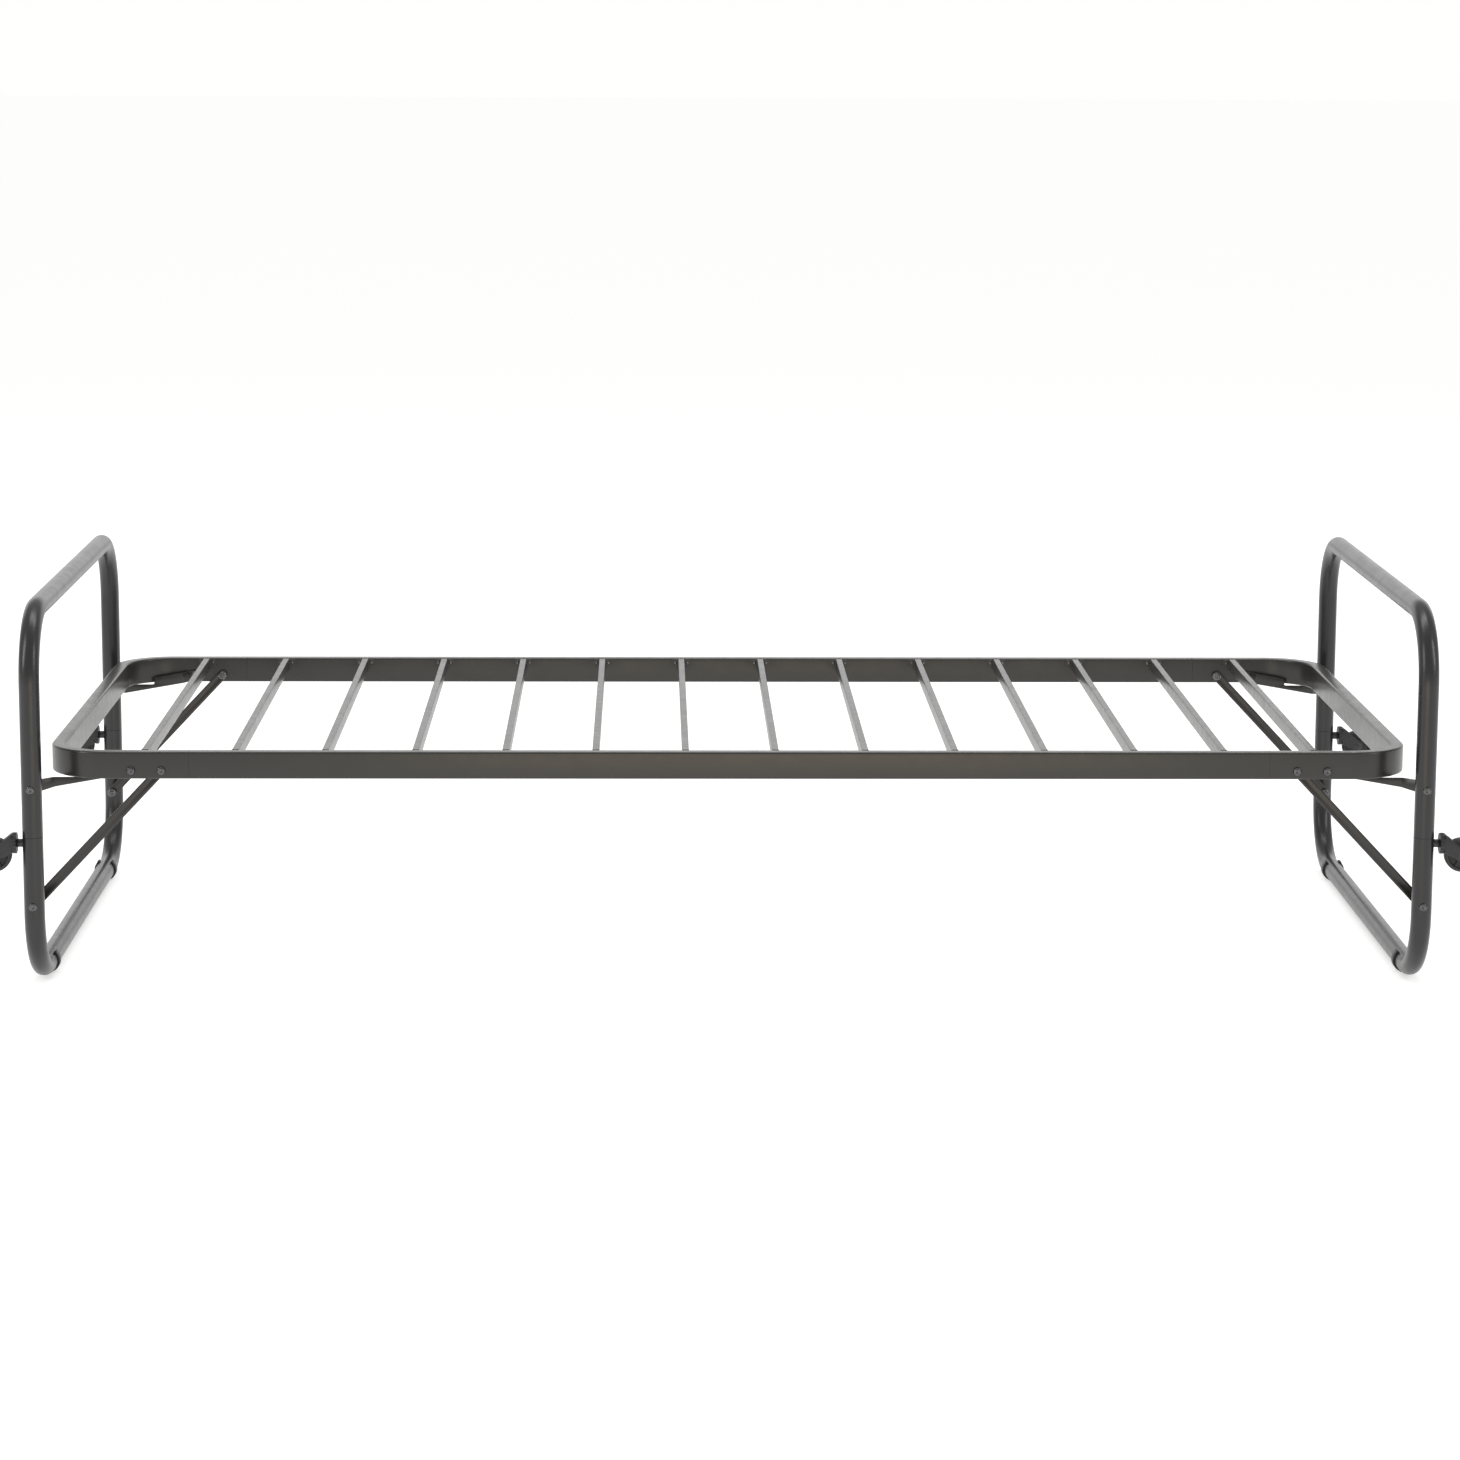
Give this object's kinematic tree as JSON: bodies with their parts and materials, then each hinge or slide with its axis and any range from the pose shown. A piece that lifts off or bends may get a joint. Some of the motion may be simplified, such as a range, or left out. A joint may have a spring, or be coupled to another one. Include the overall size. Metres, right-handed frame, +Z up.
{
  "type": "folding metal bed frame",
  "caption": "Single bed frame of painted steel: rounded platform with cross bars between folding round-tube end loops with feet and castors.",
  "frame": {"origin": "on the floor, below the middle of the platform, with the end loops standing", "axes": "+X along the bed's length, +Y across it, +Z up; left end at -X, front side at -Y"},
  "size_m": [2.199, 0.9456, 0.571],
  "materials": {
    "frame_paint": "semi-gloss anthracite powder coat",
    "tube_paint": "semi-gloss anthracite powder coat on round tube",
    "dark_fastener": "black zinc plated steel",
    "bare_steel": "bare drawn steel tube",
    "castor_steel": "black oxide steel",
    "black_plastic": "moulded black nylon",
    "castor_tread": "moulded black nylon wheel"
  },
  "bodies": {
    "platform": {"side_rail_front": "frame_paint", "side_rail_back": "frame_paint", "end_bow_left": "frame_paint", "end_bow_right": "frame_paint", "cross_bar_01": "frame_paint", "cross_bar_02": "frame_paint", "cross_bar_03": "frame_paint", "cross_bar_04": "frame_paint", "cross_bar_05": "frame_paint", "cross_bar_06": "frame_paint", "cross_bar_07": "frame_paint", "cross_bar_08": "frame_paint", "cross_bar_09": "frame_paint", "cross_bar_10": "frame_paint", "cross_bar_11": "frame_paint", "cross_bar_12": "frame_paint", "cross_bar_13": "frame_paint", "cross_bar_14": "frame_paint", "cross_bar_end_plates": "frame_paint", "cross_bar_rivets": "dark_fastener", "rail_pivot_bolts": "dark_fastener", "rail_pivot_nuts": "dark_fastener"},
    "links_left": {"upper_link_left_front": "frame_paint", "upper_link_left_back": "frame_paint"},
    "braces_left": {"diagonal_brace_left_front": "frame_paint", "diagonal_brace_left_back": "frame_paint", "brace_studs_left": "dark_fastener"},
    "loop_left": {"upper_hoop_left": "tube_paint", "lower_hoop_left": "tube_paint", "leg_sleeves_left": "bare_steel", "foot_clips_left": "black_plastic", "leg_pivot_bolts_left": "dark_fastener", "link_nuts_left": "dark_fastener", "brace_bushes_left": "dark_fastener", "castor_stems_left": "castor_steel"},
    "castor_left_front": {"castor_fork_left_front": "black_plastic", "castor_axle_left_front": "castor_steel"},
    "wheel_left_front": {"castor_wheel_left_front": "castor_tread"},
    "castor_left_back": {"castor_fork_left_back": "black_plastic", "castor_axle_left_back": "castor_steel"},
    "wheel_left_back": {"castor_wheel_left_back": "castor_tread"},
    "links_right": {"upper_link_right_front": "frame_paint", "upper_link_right_back": "frame_paint"},
    "braces_right": {"diagonal_brace_right_front": "frame_paint", "diagonal_brace_right_back": "frame_paint", "brace_studs_right": "dark_fastener"},
    "loop_right": {"upper_hoop_right": "tube_paint", "lower_hoop_right": "tube_paint", "leg_sleeves_right": "bare_steel", "foot_clips_right": "black_plastic", "leg_pivot_bolts_right": "dark_fastener", "link_nuts_right": "dark_fastener", "brace_bushes_right": "dark_fastener", "castor_stems_right": "castor_steel"},
    "castor_right_front": {"castor_fork_right_front": "black_plastic", "castor_axle_right_front": "castor_steel"},
    "wheel_right_front": {"castor_wheel_right_front": "castor_tread"},
    "castor_right_back": {"castor_fork_right_back": "black_plastic", "castor_axle_right_back": "castor_steel"},
    "wheel_right_back": {"castor_wheel_right_back": "castor_tread"}
  },
  "joints": [
    {"name": "fold_left", "type": "hinge", "parent": "platform", "child": "links_left", "pos_m": [-0.8745, 0, 0.328], "axis": [0, -1, 0], "range_deg": [0, 156.15]},
    {"name": "leg_turn_left", "type": "hinge", "parent": "links_left", "child": "loop_left", "pos_m": [-1.0185, 0, 0.3026], "axis": [0, -1, 0], "range_deg": [-66.15, 0]},
    {"name": "brace_swing_left", "type": "hinge", "parent": "platform", "child": "braces_left", "pos_m": [-0.83043, 0, 0.328], "axis": [0, -1, 0], "range_deg": [0, 126.01]},
    {"name": "castor_swivel_left_front", "type": "hinge", "parent": "loop_left", "child": "castor_left_front", "pos_m": [-1.0335, -0.455, 0.222], "axis": [-1, 0, 0], "continuous": true},
    {"name": "wheel_spin_left_front", "type": "hinge", "parent": "castor_left_front", "child": "wheel_left_front", "pos_m": [-1.0745, -0.455, 0.205], "axis": [0, 1, 0], "continuous": true},
    {"name": "castor_swivel_left_back", "type": "hinge", "parent": "loop_left", "child": "castor_left_back", "pos_m": [-1.0335, 0.455, 0.222], "axis": [-1, 0, 0], "continuous": true},
    {"name": "wheel_spin_left_back", "type": "hinge", "parent": "castor_left_back", "child": "wheel_left_back", "pos_m": [-1.0745, 0.455, 0.205], "axis": [0, 1, 0], "continuous": true},
    {"name": "fold_right", "type": "hinge", "parent": "platform", "child": "links_right", "pos_m": [0.8745, 0, 0.328], "axis": [0, 1, 0], "range_deg": [0, 156.15]},
    {"name": "leg_turn_right", "type": "hinge", "parent": "links_right", "child": "loop_right", "pos_m": [1.0185, 0, 0.3026], "axis": [0, 1, 0], "range_deg": [-66.15, 0]},
    {"name": "brace_swing_right", "type": "hinge", "parent": "platform", "child": "braces_right", "pos_m": [0.83043, 0, 0.328], "axis": [0, 1, 0], "range_deg": [0, 126.01]},
    {"name": "castor_swivel_right_front", "type": "hinge", "parent": "loop_right", "child": "castor_right_front", "pos_m": [1.0335, -0.455, 0.222], "axis": [1, 0, 0], "continuous": true},
    {"name": "wheel_spin_right_front", "type": "hinge", "parent": "castor_right_front", "child": "wheel_right_front", "pos_m": [1.0745, -0.455, 0.205], "axis": [0, 1, 0], "continuous": true},
    {"name": "castor_swivel_right_back", "type": "hinge", "parent": "loop_right", "child": "castor_right_back", "pos_m": [1.0335, 0.455, 0.222], "axis": [1, 0, 0], "continuous": true},
    {"name": "wheel_spin_right_back", "type": "hinge", "parent": "castor_right_back", "child": "wheel_right_back", "pos_m": [1.0745, 0.455, 0.205], "axis": [0, 1, 0], "continuous": true}
  ],
  "couplings": [
    {"joint": "leg_turn_left", "follows": "fold_left", "ratio": -0.42362},
    {"joint": "brace_swing_left", "follows": "fold_left", "ratio": 0.80701},
    {"joint": "leg_turn_right", "follows": "fold_right", "ratio": -0.42362},
    {"joint": "brace_swing_right", "follows": "fold_right", "ratio": 0.80701}
  ]
}
